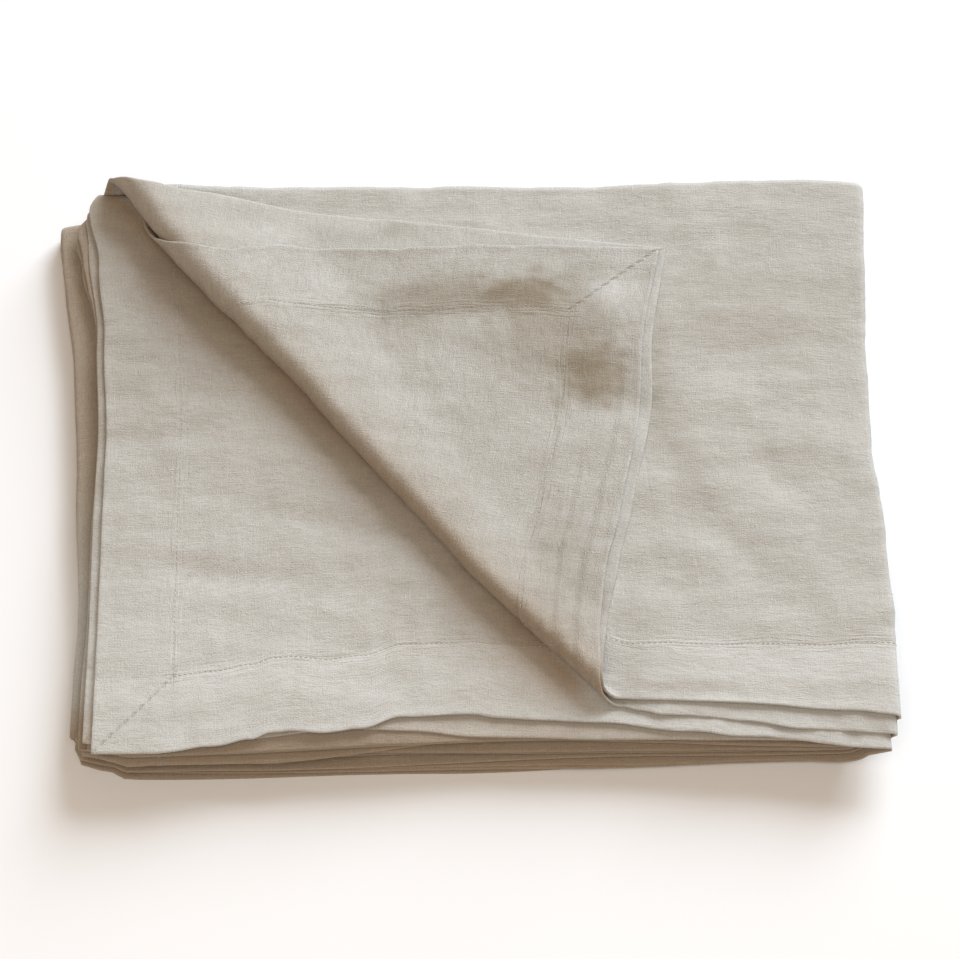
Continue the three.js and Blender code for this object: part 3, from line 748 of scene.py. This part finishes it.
bmesh.ops.recalc_face_normals(tidy, faces=tidy.faces)
tidy.to_mesh(thread_mesh)
tidy.free()
print(number, "stitches")

# %% [markdown]
# ## Shader sums
# Node maths is easier to read as sums. This small class wraps a socket, so `a * 0.5 + b` adds
# the Math nodes for us.

# %% A socket that does sums
class Wire:
    def __init__(self, tree, socket):
        self.tree, self.socket = tree, socket

    def node(self, kind, settings=None, output=0, **values):
        """Adds a node, sets it up, plugs in its values, and returns one of its outputs."""
        made = self.tree.nodes.new(kind)
        for name, value in (settings or {}).items():
            if name == "stops":
                ramp = made.color_ramp.elements
                for i, (place, colour) in enumerate(value):
                    stop = ramp[i] if i < 2 else ramp.new(place)
                    stop.position, stop.color = place, (*colour, 1)
            else:
                setattr(made, name, value)
        for name, value in values.items():
            key = name.replace("_", " ") if not name.startswith("in") else int(name[2:])
            target = made.inputs[key]
            if isinstance(value, Wire):
                self.tree.links.new(value.socket, target)
            else:
                target.default_value = value
        return Wire(self.tree, made.outputs[output])

    def sum(self, operation, other=0.0, swap=False):
        pair = (other, self) if swap else (self, other)
        return self.node("ShaderNodeMath", {"operation": operation}, in0=pair[0], in1=pair[1])

    def __add__(self, other): return self.sum("ADD", other)
    def __radd__(self, other): return self.sum("ADD", other)
    def __sub__(self, other): return self.sum("SUBTRACT", other)
    def __rsub__(self, other): return self.sum("SUBTRACT", other, swap=True)
    def __mul__(self, other): return self.sum("MULTIPLY", other)
    def __rmul__(self, other): return self.sum("MULTIPLY", other)
    def __truediv__(self, other): return self.sum("DIVIDE", other)
    def least(self, other): return self.sum("MINIMUM", other)
    def most(self, other): return self.sum("MAXIMUM", other)
    def sine(self): return self.sum("SINE")
    def size(self): return self.sum("ABSOLUTE")
    def power(self, other): return self.sum("POWER", other)

    def ramp(self, low, high, to_low=0.0, to_high=1.0):
        return self.node("ShaderNodeMapRange", {"interpolation_type": "SMOOTHSTEP"}, Value=self,
                         in1=low, in2=high, in3=to_low, in4=to_high)

    def colour(self, first, second):
        """Mixes two colours by this value."""
        return self.node("ShaderNodeMix", {"data_type": "RGBA"}, output=2,
                         in0=self, in6=first, in7=second)


def new_material(name):
    material = bpy.data.materials.new(name)
    material.use_nodes = True
    shader = material.node_tree.nodes["Principled BSDF"]
    return material, shader, Wire(material.node_tree, None)


# %% [markdown]
# ## The linen
# A plain weave of uneven yarns: each yarn is a ridge, over one and under the next. Some yarns
# are thicker for a few centimetres, the slubs. Washed linen is matt and grey-beige. Its colour
# also holds painted brown shade beside and on the roll and on the lower layers' sides, and
# painted spots of shade and light on the top.

# %% Linen material
linen, shader, w = new_material("washed_linen")
flat = w.node("ShaderNodeUVMap", {"uv_map": "flat"})
placed = w.node("ShaderNodeMapping", Vector=flat, Scale=(CLOTH_LENGTH, CLOTH_LENGTH, 1.0))
axes = placed.node("ShaderNodeSeparateXYZ", Vector=placed)
u_mm, v_mm = axes, Wire(axes.tree, axes.socket.node.outputs[1])


def stretched_noise(scale_u, scale_v, detail=2.0, shift_by=0.0):
    """Noise over the flat cloth, its grain the given lengths in millimetres."""
    moved = w.node("ShaderNodeMapping", Vector=placed, Scale=(1 / scale_u, 1 / scale_v, 1.0),
                   Location=(shift_by, shift_by * 0.7, shift_by))
    return w.node("ShaderNodeTexNoise", Vector=moved, Scale=1.0, Detail=detail, Roughness=0.5)


YARN = 0.85                                  # from one yarn to the next
warp_slub = stretched_noise(0.9, 11, 2.0, 3.0)
weft_slub = stretched_noise(12, 0.9, 2.0, 11.0)
thick_warp = stretched_noise(1.2, 9, 1.0, 23.0).ramp(0.66, 0.80)
thick_weft = stretched_noise(10, 1.2, 1.0, 31.0).ramp(0.66, 0.80)
cloud = stretched_noise(42, 30, 3.0, 47.0)
grain = stretched_noise(1.0, 0.9, 2.0, 53.0)
crepe = stretched_noise(7.5, 4.2, 3.0, 61.0)

uneven_yarn = (stretched_noise(3.0, 3.0, 1.0, 83.0) - 0.5) * 1.6
warp_ridge = ((u_mm + uneven_yarn) * (math.pi / YARN)).sine()
weft_ridge = ((v_mm + uneven_yarn) * (math.pi / YARN)).sine()
weave = warp_ridge * weft_ridge

# how far in from the cloth's nearest sides, for the seams
in_u, in_v = u_mm.least(CLOTH_LENGTH - u_mm), v_mm.least(CLOTH_WIDTH - v_mm)
dashes = (in_u * (math.pi / 2.3)).sine().ramp(-0.5, 0.5, 0.35, 1.0)
mitre = (in_u - in_v).size().ramp(0.2, 2.4, 1.0, 0.0) * in_u.most(in_v).ramp(
    HEM_WIDTH - 1, HEM_WIDTH, 1.0, 0.0) * dashes
seam = (in_u.least(in_v) - STITCH_LINE).size()
stitch_groove = seam.ramp(0.0, 1.1, 1.0, 0.0)
beside_u, beside_v = ((side - STITCH_LINE).size().ramp(1.0, 12.0, 1.0, 0.0)
                      * seam.ramp(1.0, 12.0, 1.0, 0.0) for side in (in_u, in_v))
gathers = (stretched_noise(1.9, 26, 2.0, 91.0) - 0.5) * beside_u
gathers = gathers + (stretched_noise(26, 1.9, 2.0, 97.0) - 0.5) * beside_v


def pressed_line(across, lengthways, place, low, high, width, slant=0.0):
    """A long crease at a place across the cloth, between two places along it."""
    away = (across - place - (lengthways - low) * slant).size().ramp(0.0, width, 1.0, 0.0)
    return away * lengthways.ramp(low, low + 30) * lengthways.ramp(high - 40, high, 1.0, 0.0)


creases = pressed_line(in_v, u_mm, 14, 70, 335, 5.5, 0.01) * 1.6
creases = creases + pressed_line(in_v, u_mm, 31, 130, 310, 4.5, -0.02) * 1.2
creases = creases + pressed_line(u_mm, v_mm, 352, 130, 235, 1.5, -0.06) * 0.3
creases = creases + pressed_line(u_mm, v_mm, 382, 60, 150, 1.5, -0.1) * 0.2

# painted shade beside and on the roll and on the lower layers' sides, and painted spots of shade
# above nought and of light below
warm, patch = (w.node("ShaderNodeAttribute", {"attribute_name": name}, output=2)
               for name in ("warmth", "patches"))
hem_band = in_v.ramp(STITCH_LINE - 1, STITCH_LINE, 1.0, 0.0) * u_mm.ramp(330.0, 350.0)
tone = (warp_slub - 0.5) * 0.75 + (weft_slub - 0.5) * 0.85 + (grain - 0.5) * 2.0
tone = tone + (cloud - 0.5) * 0.4 + (crepe - 0.5) * 0.5
tone = tone + thick_warp * 0.75 + thick_weft * 0.85 - 0.04
# painted spots below nought make the tone paler: painted light
tone = tone - mitre * 0.45 - stitch_groove * 0.05 + hem_band * 0.40 + (0.0 - patch).most(0.0) * 1.1
LINEN_DARK, LINEN_LIGHT = (0.375, 0.362, 0.322, 1), (0.590, 0.597, 0.578, 1)
base = (tone * 0.62 + 0.5).colour(LINEN_DARK, LINEN_LIGHT)
# the brown of the painted shade, and the taupe of the painted spots of shade
SHADE_BROWN, SPOT_SHADE_TAUPE = (0.64, 0.455, 0.295, 1), (0.56, 0.475, 0.375, 1)
for share, colour in ((warm, SHADE_BROWN), (patch.most(0.0), SPOT_SHADE_TAUPE)):
    base = w.node("ShaderNodeMix", {"data_type": "RGBA", "blend_type": "MULTIPLY"}, output=2,
                  in0=share, in6=base, in7=colour)
linen.node_tree.links.new(base.socket, shader.inputs["Base Color"])
shader.inputs["Roughness"].default_value = 0.92
shader.inputs["Specular IOR Level"].default_value = 0.25
shader.inputs["Sheen Weight"].default_value = 0.12
shader.inputs["Sheen Roughness"].default_value = 0.6

height = weave * 0.03 + (warp_slub - 0.5) * 0.20 + (weft_slub - 0.5) * 0.24
height = height + thick_warp * 0.16 + thick_weft * 0.18 + (grain - 0.5) * 0.34
height = height + (crepe - 0.5) * 0.55 + gathers * 0.9 - creases * 0.5
height = height - mitre * 0.45 - stitch_groove * 0.10
# the flap shows its weave half as strongly again
height = height * (v_mm.ramp(1120.0, 1170.0) * u_mm.ramp(330.0, 350.0, 1.0, 0.0) * 0.5 + 1.0)
bump = height.node("ShaderNodeBump", Strength=1.0, Distance=MM, Height=height)
linen.node_tree.links.new(bump.socket, shader.inputs["Normal"])
cloth_mesh.materials.append(linen)
print("linen:", len(linen.node_tree.nodes), "nodes")

# %% Thread material
thread_material, thread_shader, tw = new_material("hem_thread")
speck = tw.node("ShaderNodeTexCoord", output=3)
spun = tw.node("ShaderNodeTexNoise", Vector=speck, Scale=900.0, Detail=2.0)
thread_colour = spun.ramp(0.3, 0.7).colour((0.44, 0.41, 0.36, 1), (0.60, 0.57, 0.52, 1))
thread_material.node_tree.links.new(thread_colour.socket, thread_shader.inputs["Base Color"])
thread_shader.inputs["Roughness"].default_value = 0.75
thread_mesh.materials.append(thread_material)

# %% [markdown]
# ## What rides and what rests
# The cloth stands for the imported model's node. It is one sheet, folded, lying on its own
# lowest layer, and the stitching goes with it.

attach(cloth, "root")
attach(thread, "root")
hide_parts("tablecloth")

# %% [markdown]
# ## Light and floor
# A plain pale floor, one large soft light from behind and to the right, as from a window, and
# a warm dim light from everywhere else, so the hollows turn brown.

# %% Studio
floor_mesh = bpy.data.meshes.new("floor")
FLOOR_REACH = 6.0                            # metres each way
floor_mesh.from_pydata([(x * FLOOR_REACH, y * FLOOR_REACH, 0)
                        for x, y in ((-1, -1), (1, -1), (1, 1), (-1, 1))], [], [(0, 1, 2, 3)])
floor = bpy.data.objects.new("floor", floor_mesh)
bpy.context.scene.collection.objects.link(floor)
floor_material, floor_shader, _ = new_material("pale_floor")
floor_shader.inputs["Base Color"].default_value = (0.93, 0.955, 0.985, 1)
floor_shader.inputs["Roughness"].default_value = 0.9
floor_mesh.materials.append(floor_material)


def area_light(name, place, energy, size, colour):
    data = bpy.data.lights.new(name, "AREA")
    data.shape, data.size, data.size_y = "RECTANGLE", size, size
    data.energy, data.color = energy, colour
    light = bpy.data.objects.new(name, data)
    bpy.context.scene.collection.objects.link(light)
    light.location = place
    light.rotation_euler = (LOOK_AT - Vector(place)).to_track_quat("-Z", "Y").to_euler()


area_light("window", (2.1, 3.7, 2.3), 345, 3.0, (0.86, 0.93, 1.0))
area_light("fill", (-0.3, -1.0, 2.0), 16, 1.6, (1.0, 0.94, 0.86))
world = bpy.data.worlds.new("room")
bpy.context.scene.world = world
world.use_nodes = True
world.node_tree.nodes["Background"].inputs["Color"].default_value = (1.0, 0.74, 0.52, 1)
world.node_tree.nodes["Background"].inputs["Strength"].default_value = 0.34
bpy.context.scene.view_settings.view_transform = "Standard"
print("studio ready")
